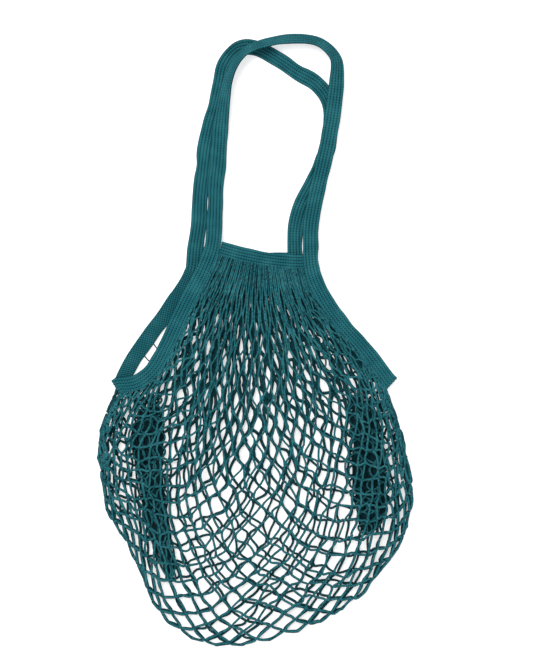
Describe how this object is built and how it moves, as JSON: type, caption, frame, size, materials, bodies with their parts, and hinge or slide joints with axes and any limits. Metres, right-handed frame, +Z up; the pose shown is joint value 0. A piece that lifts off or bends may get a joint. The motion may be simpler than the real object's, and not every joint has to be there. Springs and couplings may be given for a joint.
{
  "type": "string shopping bag",
  "caption": "Knotted cotton string bag with tape-bound mouth and two long tape handles, laid flat.",
  "frame": {"origin": "under the middle of the laid bag, on the surface that it lies on", "axes": "+Y from the bottom of the net towards the handles, +X to the right, +Z up through the flat bag"},
  "size_m": [0.3564, 0.703, 0.0226],
  "materials": {
    "tape_cotton": "matt knitted cotton tape, dyed teal",
    "net_cotton": "matt twisted cotton string, dyed teal"
  },
  "bodies": {
    "root": {"front_handle": "tape_cotton", "back_handle": "tape_cotton", "left_side_binding": "tape_cotton", "right_side_binding": "tape_cotton", "front_band": "tape_cotton", "back_band": "tape_cotton", "front_net": "net_cotton", "back_net": "net_cotton", "left_side_fold": "net_cotton", "right_side_fold": "net_cotton"}
  },
  "joints": []
}
